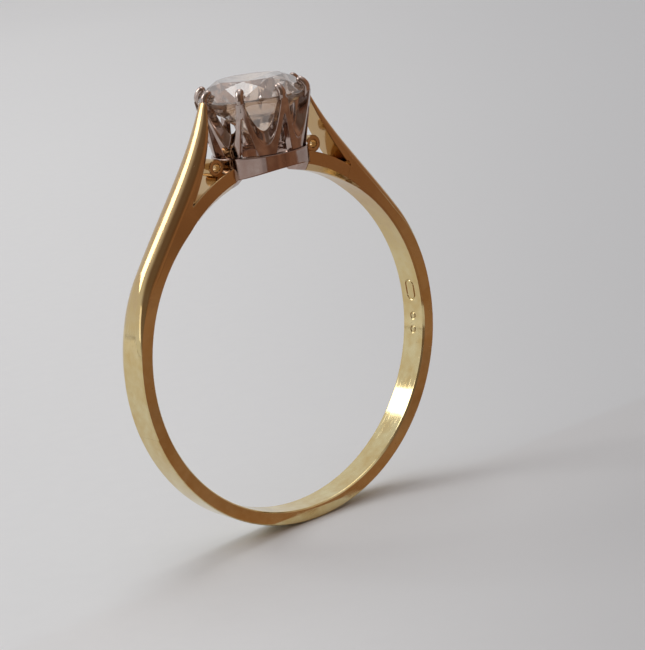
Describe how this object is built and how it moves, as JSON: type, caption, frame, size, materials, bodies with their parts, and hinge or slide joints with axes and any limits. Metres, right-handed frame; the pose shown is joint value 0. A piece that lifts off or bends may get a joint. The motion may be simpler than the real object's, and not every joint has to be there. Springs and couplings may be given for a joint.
{
  "type": "engagement ring",
  "caption": "Solitaire finger ring: slim yellow gold band with swept, pierced shoulders and a white metal claw crown around one round brilliant stone.",
  "frame": {"origin": "centre of the finger hole, midway across the band's width", "axes": "+Z from the hole's centre to the stone, +Y along the finger's axis, +X to the right with the stone up and +Y away from the viewer"},
  "size_m": [0.018, 0.0056, 0.022],
  "materials": {
    "yellow_gold": "polished yellow gold",
    "white_gold": "polished white gold, unplated",
    "stone": "colourless faceted diamond"
  },
  "bodies": {
    "root": {"shank": "yellow_gold", "shoulder_left": "yellow_gold", "shoulder_right": "yellow_gold", "rail_left": "yellow_gold", "rail_right": "yellow_gold", "scroll_left": "yellow_gold", "scroll_right": "yellow_gold", "base_ring": "white_gold", "crown_collet": "white_gold", "stone": "stone"}
  },
  "joints": []
}
